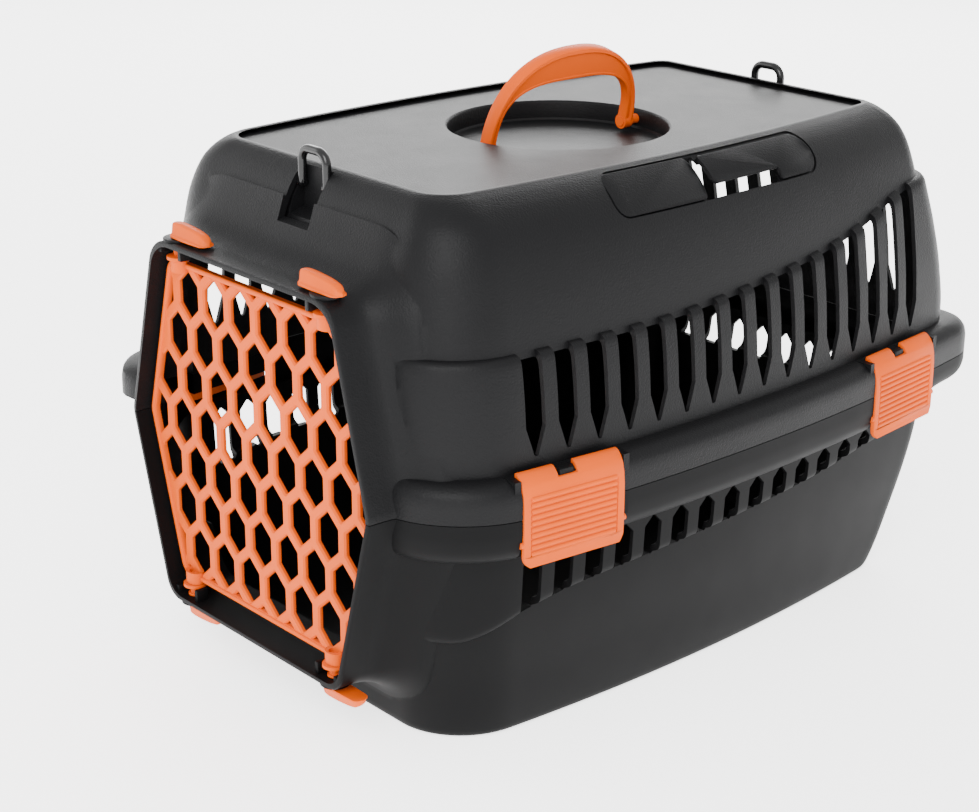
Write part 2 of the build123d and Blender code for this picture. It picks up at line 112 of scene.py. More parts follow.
def plan(half, front, rear, radius):
    """Round-cornered plan outline with bowed sides, for arrays of levels by outline points."""
    steps = []
    for turn, sign in ((0.0, 1), (pi, -1)):
        quarter = [pi / 2 * i / CORNER_STEPS for i in range(CORNER_STEPS)]
        steps += [("side", sign, i / SIDE_STEPS) for i in range(SIDE_STEPS)]
        steps += [("corner", (sign, sign), turn + u) for u in quarter]
        steps += [("end", sign, i / END_STEPS) for i in range(END_STEPS)]
        steps += [("corner", (-sign, sign), turn + pi / 2 + u) for u in quarter]
    x = np.zeros_like(half)
    y = np.zeros_like(half)
    for c, (kind, sign, u) in enumerate(steps):
        h, f, r, k = half[:, c], front[:, c], rear[:, c], radius[:, c]
        q = k * REAR_CORNER
        if kind == "side":
            x[:, c] = sign * h
            y[:, c] = (f + k) + (r - f - k - q) * (u if sign > 0 else 1 - u)
        elif kind == "end":
            x[:, c] = sign * (h - (q if sign > 0 else k)) * (1 - 2 * u)
            y[:, c] = r if sign > 0 else f
        else:
            k = q if sign[1] > 0 else k
            x[:, c] = sign[0] * (h - k) + k * cos(u)
            y[:, c] = ((r - k) if sign[1] > 0 else (f + k)) + k * sin(u)
    x = x * (1 - BOW * (y - BOW_CENTRE) ** 2 / half)
    return x, y


COLUMNS = 2 * SIDE_STEPS + 4 * CORNER_STEPS + 2 * END_STEPS
ONE = np.ones((1, COLUMNS))
Y_REF = plan(150.0 * ONE, -214.0 * ONE, 208.0 * ONE, 46.0 * ONE)[1][0]


def level_grid(rows, z, offset, inset):
    """Points of a wall at given heights and outward offsets."""
    z_look = np.minimum(z + inset, rows[-1, 0]) if inset else z
    half = table(rows, z_look, 1) + offset - inset
    front = table(rows, z_look, 2) - offset + inset
    rear = table(rows, z_look, 3) + offset - inset
    radius = table(rows, z_look, 4) + offset - inset
    x, y = plan(half, front, rear, radius)
    return np.stack([x, y, z], axis=2)


def body_grid(inset=0.0):
    """Rings of the body wall, with the raised band between its two ledge lines."""
    low = smooth_curve(LOWER_LINE[:, 0], LOWER_LINE[:, 1], Y_REF) + 1.2 * inset
    high = smooth_curve(UPPER_LINE[:, 0], UPPER_LINE[:, 1], Y_REF) - 1.2 * inset
    flat = np.ones(COLUMNS)
    heights, offsets = [], []

    def add(z, offset):
        heights.append(z * flat)
        offsets.append(offset * flat)

    def between(start, stop, count):
        for i in range(1, count):
            add(start + (stop - start) * i / count, offsets[-1][0])

    base = 0.0 + inset
    for z in (0.0, 0.3, 0.8, 1.6, 2.5, 3.6, 5.0, 7.0):
        add(base + z, 0.0)
    between((base + 7.0) * flat, low + LOWER_STEP[0][0], 16)
    for dz, offset in LOWER_STEP:
        add(low + dz, offset)
    between(low + 5.0, high - 7.0, 40)
    for dz, offset in UPPER_STEP:
        add(high + dz, offset)
    top = BODY_TOP if inset == 0.0 else BODY_TOP - 5.1
    roof = 16.0
    between(high + 1.6, (top - roof) * flat, 14)
    for i in range(15):
        add(top - roof + roof * i / 14, 0.0)
    if inset == 0.0:
        # a small lip round the roof panel
        for z, offset in ((301.95, -1.0), (302.1, -2.0), (302.1, -3.4), (301.8, -4.2), (300.6, -4.8),
                          (299.0, -5.2)):
            add(z, offset)
    z = np.array(heights)
    return level_grid(BODY, z, np.array(offsets), inset)


def rim_grid(inset=0.0):
    low, high = (RIM[0, 0], RIM[-1, 0]) if inset == 0.0 else (119.0, 159.0)
    levels = sorted([low + (high - low) * i / 34 for i in range(35)] + [SEAM, SEAM + 0.6])
    z = np.array([level * np.ones(COLUMNS) for level in levels])
    half = table(RIM, z, 1) - inset
    front = table(RIM, z, 2) + inset
    rear = table(RIM, z, 3) - inset
    x, y = plan(half, front, rear, table(RIM, z, 4) - inset)
    # the far front corner of the upper rim stands out past the doorway
    near = np.clip((-150.0 - y) / 50.0, 0.0, 1.0) * np.clip((-x - 96.0) / 30.0, 0.0, 1.0)
    near = near * near * (3 - 2 * near)
    near = near * np.clip((z - SEAM) / 0.6, 0.0, 1.0) * np.clip((164.0 - z) / 7.0, 0.0, 1.0) ** 0.5
    x, y = x - 14.5 * near, y - 11.0 * near
    # the rim is less deep across the rear wall
    rear = np.clip((y - 150.0) / 45.0, 0.0, 1.0)
    z = np.where(z < SEAM, SEAM - (SEAM - z) * (1 - 0.3 * rear * rear * (3 - 2 * rear)), z)
    return np.stack([x, y, z], axis=2)


def body_x(y, z):
    """X of the right wall, without the raised band."""
    half = table(BODY, z, 1)
    return half - BOW * (y - BOW_CENTRE) ** 2


def make_mesh(name, vertices, faces):
    mesh = bpy.data.meshes.new(name)
    mesh.from_pydata([tuple(v) for v in np.asarray(vertices, float) * MM], [], faces)
    obj = bpy.data.objects.new(name, mesh)
    bpy.context.scene.collection.objects.link(obj)
    editing = bmesh.new()
    editing.from_mesh(mesh)
    bmesh.ops.recalc_face_normals(editing, faces=editing.faces)
    editing.to_mesh(mesh)
    editing.free()
    return obj


def ring_faces(rows, columns, start=0):
    """Quads of a closed tube of rings, with both ends capped."""
    faces = []
    for i in range(rows - 1):
        for j in range(columns):
            k = (j + 1) % columns
            a = start + i * columns
            faces.append((a + j, a + k, a + columns + k, a + columns + j))
    faces.append(tuple(start + j for j in reversed(range(columns))))
    faces.append(tuple(start + (rows - 1) * columns + j for j in range(columns)))
    return faces


def tube(name, grid):
    rows, columns = grid.shape[:2]
    return make_mesh(name, grid.reshape(-1, 3), ring_faces(rows, columns))


def joined_tubes(name, grids):
    """Several closed tubes in one mesh."""
    vertices, faces = [], []
    for grid in grids:
        rows, columns = grid.shape[:2]
        faces += ring_faces(rows, columns, len(vertices))
        vertices += [tuple(v) for v in grid.reshape(-1, 3)]
    return make_mesh(name, vertices, faces)


def prism(outline, low, high, axis="x"):
    """Rings of a prism whose outline is in the two other coordinates."""
    rings = []
    for level in (low, high):
        if axis == "x":
            rings.append([(level, a, b) for a, b in outline])
        elif axis == "y":
            rings.append([(a, level, b) for a, b in outline])
        else:
            rings.append([(a, b, level) for a, b in outline])
    return np.array(rings, float)


def box(x0, x1, y0, y1, z0, z1):
    return prism([(x0, y0), (x1, y0), (x1, y1), (x0, y1)], z0, z1, "z")


def rod(radius, start, end, count=32):
    """Rings of a round rod between two points."""
    a, b = Vector(start), Vector(end)
    turn = Vector((0, 0, 1)).rotation_difference(b - a).to_matrix()
    rings = []
    for centre in (a, b):
        ring = []
        for i in range(count):
            t = 2 * pi * i / count
            ring.append(tuple(centre + turn @ Vector((radius * cos(t), radius * sin(t), 0))))
        rings.append(ring)
    return np.array(rings)


def rounded(points, radii, arc=8, straight=1):
    """Closed outline with its corners rounded; every corner has its own radius."""
    out = []
    count = len(points)
    pts = [Vector(p) for p in points]
    for i in range(count):
        p, a, b = pts[i], pts[i - 1], pts[(i + 1) % count]
        u, v = (a - p).normalized(), (b - p).normalized()
        half = u.angle(v) / 2
        radius = radii[i] if hasattr(radii, "__len__") else radii
        reach = radius / np.tan(half)
        start, end = p + u * reach, p + v * reach
        centre = p + (u + v).normalized() * (radius / sin(half))
        if straight > 1 and out:
            last = Vector(out[-1])
            for k in range(1, straight):
                out.append(tuple(last.lerp(start, k / straight)))
        for k in range(arc + 1):
            t = k / arc
            d0, d1 = (start - centre), (end - centre)
            angle = d0.angle(d1, 0.0)
            if angle < 1e-6:
                out.append(tuple(start))
                continue
            d = (sin((1 - t) * angle) * d0 + sin(t * angle) * d1) / sin(angle)
            out.append(tuple(centre + d))
    if straight > 1:
        last, first = Vector(out[-1]), Vector(out[0])
        for k in range(1, straight):
            out.append(tuple(last.lerp(first, k / straight)))
    return out


def boolean(target, other, operation="DIFFERENCE"):
    """Applies one boolean step and removes the other mesh."""
    change = target.modifiers.new("change", "BOOLEAN")
    change.operation = operation
    change.solver = "MANIFOLD"
    change.object = other
    graph = bpy.context.evaluated_depsgraph_get()
    result = bpy.data.meshes.new_from_object(target.evaluated_get(graph))
    if len(result.polygons) == 0:
        raise RuntimeError("empty result: " + target.name + " " + other.name)
    target.modifiers.clear()
    old = target.data
    target.data = result
    bpy.data.meshes.remove(old)
    bpy.data.objects.remove(other)
    return target


def finish_piece(obj, body, material, replaces=None, angle=32.0):
    for polygon in obj.data.polygons:
        polygon.use_smooth = True
    obj.data.set_sharp_from_angle(angle=radians(angle))
    obj.data.materials.clear()
    obj.data.materials.append(material)
    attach(obj, body)
    if replaces:
        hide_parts(replaces)
    return obj


def bevel(obj, width, segments=2, angle=40.0):
    change = obj.modifiers.new("edge", "BEVEL")
    change.width = width * MM
    change.segments = segments
    change.limit_method = "ANGLE"
    change.angle_limit = radians(angle)
    change.use_clamp_overlap = True
    graph = bpy.context.evaluated_depsgraph_get()
    result = bpy.data.meshes.new_from_object(obj.evaluated_get(graph))
    obj.modifiers.clear()
    obj.data = result
    return obj


# materials
def plastic(name, colour, roughness, grain_scale, grain_height, coat=0.0, specular=0.2):
    """Moulded plastic: slight colour drift, uneven gloss and a fine moulded grain."""
    material = bpy.data.materials.new(name)
    material.use_nodes = True
    nodes, links = material.node_tree.nodes, material.node_tree.links
    shader = nodes["Principled BSDF"]
    place = nodes.new("ShaderNodeTexCoord")
    drift = nodes.new("ShaderNodeTexNoise")
    drift.inputs["Scale"].default_value = 14.0
    drift.inputs["Detail"].default_value = 4.0
    links.new(place.outputs["Object"], drift.inputs["Vector"])
    colours = nodes.new("ShaderNodeValToRGB")
    colours.color_ramp.elements[0].position = 0.3
    colours.color_ramp.elements[1].position = 0.7
    colours.color_ramp.elements[0].color = [c * 0.93 for c in colour] + [1.0]
    colours.color_ramp.elements[1].color = [min(c * 1.07, 1.0) for c in colour] + [1.0]
    links.new(drift.outputs["Fac"], colours.inputs["Fac"])
    links.new(colours.outputs["Color"], shader.inputs["Base Color"])
    gloss = nodes.new("ShaderNodeMapRange")
    gloss.inputs["To Min"].default_value = roughness - 0.04
    gloss.inputs["To Max"].default_value = roughness + 0.05
    smear = nodes.new("ShaderNodeTexNoise")
    smear.inputs["Scale"].default_value = 45.0
    smear.inputs["Detail"].default_value = 5.0
    links.new(place.outputs["Object"], smear.inputs["Vector"])
    links.new(smear.outputs["Fac"], gloss.inputs["Value"])
    links.new(gloss.outputs["Result"], shader.inputs["Roughness"])
    grain = nodes.new("ShaderNodeTexNoise")
    grain.inputs["Scale"].default_value = grain_scale
    grain.inputs["Detail"].default_value = 2.0
    links.new(place.outputs["Object"], grain.inputs["Vector"])
    lift = nodes.new("ShaderNodeBump")
    lift.inputs["Strength"].default_value = 0.55
    lift.inputs["Distance"].default_value = grain_height
    links.new(grain.outputs["Fac"], lift.inputs["Height"])
    links.new(lift.outputs["Normal"], shader.inputs["Normal"])
    shader.inputs["Specular IOR Level"].default_value = specular
    shader.inputs["Coat Weight"].default_value = coat
    shader.inputs["Coat Roughness"].default_value = 0.2
    return material


upper_plastic = plastic("upper_plastic", (0.0048, 0.0048, 0.0052), 0.42, 1000.0, 0.0005, specular=0.10)
lower_plastic = plastic("lower_plastic", (0.0032, 0.0032, 0.0034), 0.50, 1700.0, 0.00007, specular=0.06)
loop_plastic = plastic("loop_plastic", (0.003, 0.003, 0.0033), 0.24, 900.0, 0.00002, coat=0.3)
orange_plastic = plastic("orange_plastic", (0.58, 0.074, 0.0004), 0.46, 1100.0, 0.00002, specular=0.08)

# shells
HOOD_TOP, HOOD_BOTTOM, HOOD_HALF_END, HOOD_HALF_MID = 254.5, 32.8, 82.5, 112.5
HOOD_MID_Z = (HOOD_TOP + HOOD_BOTTOM) / 2
# Y, growth of the outline at its top, sides and bottom
HOOD_FLARE = np.array([
    (-240.0, -1.0, -1.0, -1.0), (-239.7, -0.4, -0.4, -0.4), (-239.0, 0.0, 0.0, 0.0),
    (-232.0, 0.1, 0.3, 0.1), (-226.0, 0.3, 0.9, 0.4), (-222.0, 0.9, 2.0, 0.9), (-219.0, 1.7, 3.6, 1.4),
    (-216.0, 2.8, 6.6, 2.2), (-213.0, 4.2, 10.4, 3.3), (-210.0, 6.2, 15.0, 5.0), (-207.0, 9.0, 19.5, 7.6),
    (-204.5, 12.4, 22.0, 11.0), (-202.0, 17.0, 23.5, 15.0), (-200.0, 22.0, 24.5, 18.0),
    (-197.0, 31.0, 25.0, 20.0),
])


def hexagon(top, side, bottom, arc=10, straight=14):
    """Six-sided doorway outline grown by a distance at its top, sides and bottom."""
    slope = (HOOD_HALF_MID - HOOD_HALF_END) / (HOOD_TOP - HOOD_MID_Z)
    shift = side * (1 + slope**2) ** 0.5
    z_top, z_low = HOOD_TOP + top, HOOD_BOTTOM - bottom
    half_top = HOOD_HALF_MID + shift - slope * (z_top - HOOD_MID_Z)
    half_low = HOOD_HALF_MID + shift - slope * (HOOD_MID_Z - z_low)
    mid = HOOD_HALF_MID + shift
    points = [(half_top, z_top), (mid, HOOD_MID_Z), (half_low, z_low),
              (-half_low, z_low), (-mid, HOOD_MID_Z), (-half_top, z_top)]
    grow = max(side, 0.0)
    radii = [18 + grow, 14 + grow, 13 + grow, 13 + grow, 14 + grow, 18 + grow]
    return rounded(points, radii, arc, straight)


def hood_grid():
    rows = []
    ys = np.unique(np.concatenate([HOOD_FLARE[:, 0], np.linspace(-239, -197, 43)]))
    for y in ys:
        growth = [float(smooth_curve(HOOD_FLARE[:, 0], HOOD_FLARE[:, c], y)) for c in (1, 2, 3)]
        rows.append([(x, y, z) for x, z in hexagon(*growth)])
    return np.array(rows)


CLIP_W, CLIP_T = 66.0, 2.4
CLIP_POCKET = 4.0  # depth of the pocket behind a clip
CLIP_PIVOT, CLIP_LOW, CLIP_TOP = 128.0, 115.0, 165.4
CLIP_OUT = 2.6  # outer face, from the pivot
# Y and turn in degrees
CLIP_PLACES = {"front": (-142.0, 6.2), "rear": (143.0, -6.2)}


def clip_matrix(side, place):
    y, turn = CLIP_PLACES[place]
    x = 166.5 - BOW * (y - BOW_CENTRE) ** 2 - CLIP_POCKET + CLIP_T
    if side > 0:
        return Matrix.Translation((x, y, CLIP_PIVOT)) @ Matrix.Rotation(radians(-turn), 4, "Z")
    return Matrix.Translation((-x, y, CLIP_PIVOT)) @ Matrix.Rotation(radians(180 + turn), 4, "Z")


def placed(matrix, grid):
    flat = grid.reshape(-1, 3)
    out = np.array([tuple(matrix @ Vector(v)) for v in flat])
    return out.reshape(grid.shape)


CLIPS = [(side, place, "side_clip_" + place + "_" + word, "clip_" + place + "_" + word)
         for place in ("front", "rear") for side, word in ((1, "right"), (-1, "left"))]


def shoulder_patch(side, corners, radius, inner, outer, steps=28):
    """Rings of a round-cornered patch that follows the shoulder, between two offsets from it."""
    outline = rounded(corners, radius, 10, steps)
    rings = []
    for offset in (inner, outer):
        ring = []
        for y, z in outline:
            x = float(body_x(y, z))
            slope = float(body_x(y, z + 0.5) - body_x(y, z - 0.5))
            normal = Vector((1.0, 2 * BOW * (y - BOW_CENTRE), -slope)).normalized()
            point = Vector((x, y, z)) + normal * offset
            ring.append((side * point.x, point.y, point.z))
        rings.append(ring)
    return np.array(rings)


def square(y0, y1, z0, z1):
    return [(y0, z0), (y1, z0), (y1, z1), (y0, z1)]


def shell_whole():
    outer = tube("outer", body_grid())
    boolean(outer, tube("rim", rim_grid()), "UNION")
    boolean(outer, tube("hood", hood_grid()), "UNION")
    seats = []
    half = CLIP_W / 2 + 4.6
    for side, place, node, body in CLIPS:
        seat = box(-14.0, 0.2, -half, half, 129.0 - CLIP_PIVOT, 35.6)
        seats.append(placed(clip_matrix(side, place), seat))
    inner = tube("inner", body_grid(WALL))
    rim_space = tube("rim_space", rim_grid(WALL))
    boolean(rim_space, joined_tubes("seats_a", seats), "DIFFERENCE")
    boolean(inner, rim_space, "UNION")
    boolean(outer, joined_tubes("seats_b", seats), "UNION")
    boolean(outer, inner)
    tunnel = [[(x, y, z) for x, z in hexagon(-3.0, -3.0, -3.0)] for y in (-245.0, -190.0)]
    boolean(outer, tube("tunnel", np.array(tunnel)))
    return outer


SLOTS, SLOT_PITCH, SLOT_FIRST, SLOT_W = 16, 21.5, -157.0, 12.8
REAR_SLOTS, REAR_PITCH, REAR_SLOT_W = 9, 21.5, 11.5


def slot_grids():
    """Cutters of the upper slots, of the lower slots and of the steps between the rib tops."""
    upper, lower, knuckles = [], [], []
    for i in range(SLOTS):
        y = SLOT_FIRST + i * SLOT_PITCH
        h = SLOT_W / 2
        tops = [float(smooth_curve(UPPER_LINE[:, 0], UPPER_LINE[:, 1], v)) - 3.4 for v in (y - h, y + h)]
        lows = [float(smooth_curve(LOWER_LINE[:, 0], LOWER_LINE[:, 1], v)) + 0.4 for v in (y - h, y + h)]
        a = rounded([(y - 1.2, 170.5), (y + 1.2, 170.5), (y + h, 186.5), (y + h, tops[1]), (y - h, tops[0]),
                     (y - h, 186.5)], [0.8, 0.8, 2.0, 1.6, 1.6, 2.0], 4)
        b = rounded([(y - h, lows[0]), (y + h - 4.4, lows[1] - 0.6), (y + h - 2.2, lows[1] - 3.0),
                     (y + h, lows[1]), (y + h, 108.5), (y + 0.8, 114.2), (y - 0.8, 114.2), (y - h, 108.5)],
                    [1.0, 0.6, 1.6, 0.6, 1.0, 0.7, 0.7, 1.0], 4)
        for sign in (1, -1):
            x0, x1 = sorted((sign * 118.0, sign * 160.0))
            upper.append(prism(a, x0, x1))
            lower.append(prism(b, x0, x1))
            cell = [(y - h, tops[0] - 3.0), (y + h, tops[1] - 3.0),
                    (y + h, tops[1] + 6.0), (y - h, tops[0] + 6.0)]
            near = [(sign * (float(body_x(v, z)) - 0.02), v, z) for v, z in cell]
            knuckles.append(np.array([near, [(sign * 162.0, v, z) for v, z in cell]]))
    for i in range(REAR_SLOTS):
        x = (i - (REAR_SLOTS - 1) / 2) * REAR_PITCH
        h = REAR_SLOT_W / 2
        a = rounded([(x - 1.2, 171.0), (x + 1.2, 171.0), (x + h, 186.5), (x + h, 250.0), (x - h, 250.0),
                     (x - h, 186.5)], [0.8, 0.8, 2.0, 1.6, 1.6, 2.0], 4)
        b = rounded([(x - h, 98.6), (x + h, 98.6), (x + h, 114.0), (x + 0.8, 119.4), (x - 0.8, 119.4),
                     (x - h, 114.0)], [1.0, 1.0, 1.0, 0.7, 0.7, 1.0], 4)
        upper.append(prism(a, 180.0, 232.0, "y"))
        lower.append(prism(b, 180.0, 232.0, "y"))
    return upper, lower, knuckles


HANDLE_Y = -5.5


def make_shells():
    whole = shell_whole()
    copy = whole.copy()
    copy.data = whole.data.copy()
    bpy.context.scene.collection.objects.link(copy)
    above = joined_tubes("above", [box(-220, 220, -280, 280, SEAM + SEAM_GAP, 340)])
    upper = boolean(whole, above, "INTERSECT")
    below = joined_tubes("below", [box(-220, 220, -280, 280, -5, SEAM - SEAM_GAP)])
    lower = boolean(copy, below, "INTERSECT")
    upper_slots, lower_slots, knuckles = slot_grids()
    boolean(upper, joined_tubes("slots_a", upper_slots))
    boolean(upper, joined_tubes("slots_c", knuckles))
    boolean(lower, joined_tubes("slots_b", lower_slots))
    for shell in (upper, lower):
        pockets = []
        for side, place, node, body in CLIPS:
            matrix = clip_matrix(side, place)
            half = CLIP_W / 2 + 0.6
            low = CLIP_LOW - CLIP_PIVOT - 2.0
            back = CLIP_OUT - CLIP_T - 0.4
            outline = [(back - 6.6, 80.0), (14.0, 80.0), (14.0, low), (-4.6, low), (-4.6, 3.4),
                       (back, 3.4), (back, 27.0), (back - 2.2, 33.0), (back - 6.6, 37.0)]
            pockets.append(placed(matrix, prism(outline, -half, half, "y")))
        boolean(shell, joined_tubes("pockets", pockets))
    # handle well
    boolean(upper, tube("well_out", rod(68.5, (0, HANDLE_Y, 284.0), (0, HANDLE_Y, 298.9), 128)), "UNION")
    rings = []
    for z, r in ((286.5, 63.5), (287.2, 65.2), (288.4, 66.0), (297.4, 66.0), (298.4, 66.5), (299.0, 67.4),
                 (303.0, 69.0)):
        angles = [2 * pi * i / 128 for i in range(128)]
        rings.append([(r * cos(t), HANDLE_Y + r * sin(t), z) for t in angles])
    boolean(upper, tube("well", np.array(rings)))
    # loop pockets
    for y, facing in ((-186.0, 1), (182.0, -1)):
        block = [(6.0, 298.9), (6.0, 270.0), (-9.0, 270.0), (-4.4, 283.0), (1.0, 293.0), (3.0, 298.9)]
        pocket = [(2.9, 310.0), (2.9, 277.0), (-28.0, 268.0), (-28.0, 310.0)]
        for name, outline, half, operation in (("loop_block", block, 17.0, "UNION"),
                                               ("loop_pocket", pocket, 13.8, "DIFFERENCE")):
            rings = prism([(y + facing * a, z) for a, z in outline], -half, half)
            boolean(upper, tube(name, rings), operation)
    # seat-belt openings
    for side in (1, -1):
        # the shallow recess, the gap between the tongues and the slot under the rear one
        for name, corners, radius, depth in (("belt_a", (-82.0, 87.0, 279.5, 300.6), 9.5, -1.3),
                                             ("belt_b", (-13.0, -5.0, 279.8, 300.2), 1.5, -12.0),
                                             ("belt_c", (-8.0, 51.0, 280.0, 286.4), 2.0, -12.0)):
            patch = shoulder_patch(side, square(*corners), radius, depth, 8.0)
            boolean(upper, tube(name, patch))
    return upper, lower


upper, lower = make_shells()
finish_piece(upper, "shells", upper_plastic, "upper_shell")
finish_piece(lower, "shells", lower_plastic, "lower_shell")

# belt tongues: two flaps that fill the recess on each shoulder
for side, word in ((1, "right"), (-1, "left")):
    left = [(-81.0, 280.4), (-13.4, 280.4), (-13.4, 300.0), (-81.0, 300.0)]
    right = [(-4.6, 286.8), (51.6, 286.8), (51.6, 280.6), (85.4, 280.6), (85.4, 299.4), (-4.6, 299.4)]
    flaps = [shoulder_patch(side, left, [8.6, 2.0, 3.0, 6.0], -2.4, 0.25),
             shoulder_patch(side, right, [4.0, 1.2, 1.2, 9.0, 9.0, 2.0], -2.4, 0.35)]
    tongues = joined_tubes("belt_tongues_" + word, flaps)
    bevel(tongues, 0.7)
    finish_piece(tongues, "shells", upper_plastic)


# door
DOOR_FRONT, DOOR_BACK = -231.2, -227.4
DOOR_TOP, DOOR_LOW = 241.5, 45.8
KEY_X, KEY_Y = 68.0, -231.0
PITCH_X, PITCH_Z, CELL_HALF, CELL_W, CELL_SHOULDER = 25.0, 26.4, 14.6, 18.4, 6.4


def door_outline(inset, radius):
    slope = (HOOD_HALF_MID - HOOD_HALF_END) / (HOOD_TOP - HOOD_MID_Z)
    side = 6.0 * 1.036 + inset * 1.036
    top, low = DOOR_TOP - inset, DOOR_LOW + inset
    mid = HOOD_HALF_MID - side
    half_top = mid - slope * (top - HOOD_MID_Z)
    half_low = mid - slope * (HOOD_MID_Z - low)
    points = [(half_top, top), (mid, HOOD_MID_Z), (half_low, low),
              (-half_low, low), (-mid, HOOD_MID_Z), (-half_top, top)]
    return rounded(points, radius, 8)


def make_door():
    plate = tube("door", prism(door_outline(0.0, 9.0), DOOR_FRONT + 1.0, DOOR_BACK, "y"))
    cells = []
    for row in range(-4, 5):
        z = HOOD_MID_Z + row * PITCH_Z
        offset = 0.0 if row % 2 == 0 else PITCH_X / 2
        for column in range(-5, 6):
            x = column * PITCH_X + offset
            h = CELL_W / 2
            points = [(x, z + CELL_HALF), (x - h, z + CELL_SHOULDER), (x - h, z - CELL_SHOULDER),
                      (x, z - CELL_HALF), (x + h, z - CELL_SHOULDER), (x + h, z + CELL_SHOULDER)]
            rings = []
            for y, grow in ((DOOR_FRONT - 1.0, 1.25), (DOOR_FRONT + 1.0, 1.15), (DOOR_FRONT + 2.0, 0.0),
                            (DOOR_BACK + 1, 0.0)):
                ring = []
                for px, pz in rounded(points, 1.1, 3):
                    length = ((px - x) ** 2 + (pz - z) ** 2) ** 0.5
                    ring.append((x + (px - x) * (1 + grow / length), y, z + (pz - z) * (1 + grow / length)))
                rings.append(ring)
            cells.append(np.array(rings))
    holes = joined_tubes("cells", cells)
    field = tube("field", prism(door_outline(3.5, 7.0), -240.0, -220.0, "y"))
    boolean(holes, field, "INTERSECT")
    boolean(plate, holes)
    bevel(plate, 0.35, 2, 50.0)
    # raised ridge round the frame
    inner, outer = door_outline(3.1, 7.0), door_outline(0.0, 9.0)
    count = len(outer)
    profile = [(0.0, 1.0), (0.06, 0.3), (0.25, -0.2), (0.75, -0.2), (0.94, 0.3), (1.0, 1.2), (1.0, 2.0),
               (0.0, 2.0)]
    vertices, faces = [], []
    for i in range(count):
        for t, y in profile:
            x = outer[i][0] + (inner[i][0] - outer[i][0]) * t
            z = outer[i][1] + (inner[i][1] - outer[i][1]) * t
            vertices.append((x, DOOR_FRONT + y, z))
    m = len(profile)
    for i in range(count):
        j = (i + 1) % count
        for k in range(m):
            q = (k + 1) % m
            faces.append((i * m + k, j * m + k, j * m + q, i * m + q))
    ridge = make_mesh("door_ridge", vertices, faces)
    finish_piece(plate, "door", orange_plastic, "door_grille", 40.0)
    finish_piece(ridge, "door", orange_plastic, None, 50.0)
    sockets = []
    for x in (-KEY_X, KEY_X):
        for z, up in ((DOOR_TOP, 1), (DOOR_LOW, -1)):
            z0, z1 = sorted((z + up * 1.5, z - up * 5.5))
            angles = [radians(-60 + 300 * i / 20 - 60) for i in range(21)]
            ring = [(x + 6.4 * sin(t), KEY_Y - 4.8 * cos(t)) for t in angles]
            ring += [(x + 3.4 * sin(t), KEY_Y - 3.3 * cos(t)) for t in reversed(angles)]
            sockets.append(prism(ring, z0, z1, "z"))
    hooks = joined_tubes("door_sockets", sockets)
    finish_piece(hooks, "door", orange_plastic)


make_door()


# keys
def paddle_grid(x0, x1, base, up):
    """Rings of a key's paddle, tall at its left end and sloping to the right."""
    rows = []
    steps = 28
    for i in range(steps + 1):
        u = i / steps
        x = x0 + (x1 - x0) * u
        edge = min(u, 1 - u) * (x1 - x0)
        round_end = min(1.0, (1 - max(0.0, 1 - edge / 4.5) ** 2) ** 0.5 + 0.02)
        width = 5.5 * round_end * (0.86 + 0.14 * sin(pi * u))
        height = float(smooth_curve([0, 0.06, 0.16, 0.6, 0.86, 0.95, 1.0],
                                    [6.6, 7.9, 8.3, 7.4, 5.8, 3.2, 1.6], u))
        flank = [(1.0, 0.0), (1.0, 0.16), (0.86, 0.22), (0.74, 0.3), (0.60, 0.86), (0.42, 1.0), (0.1, 1.03)]
        section = [(-a, b) for a, b in flank] + flank[::-1]
        rows.append([(x, width * a, base + up * height * b) for a, b in section])
    return np.array(rows)


# name, X sign, up sign, lip height, shift of the paddle along the lip
KEYS = [("top_left", -1, 1, HOOD_TOP, 13.5), ("top_right", 1, 1, HOOD_TOP, -3.4),
        ("bottom_left", -1, -1, HOOD_BOTTOM, 12.0), ("bottom_right", 1, -1, HOOD_BOTTOM, 8.0)]
for name, sign, up, lip, shift in KEYS:
    at = Matrix.Translation((sign * KEY_X, KEY_Y, lip))
    parts = [
        placed(at, paddle_grid(shift - 17.3, shift + 17.3, up * 1.8, up)),
        placed(at, rod(3.1, (0, 0, up * 2.6), (0, 0, -up * 9.5))),
        placed(at, rod(4.3, (0, 0, -up * 3.4), (0, 0, -up * 4.8))),
        placed(at, rod(7.0, (0, 0, -up * 9.3), (0, 0, -up * 11.1), 48)),
        placed(at, box(-2.2, 2.2, -2.3, 2.3, *sorted((-up * 9.5, -up * 16.9)))),
    ]
    key = joined_tubes("key_" + name, parts)
    bevel(key, 0.45, 2, 42.0)
    finish_piece(key, "key_" + name, orange_plastic, "door_key_" + name, 44.0)


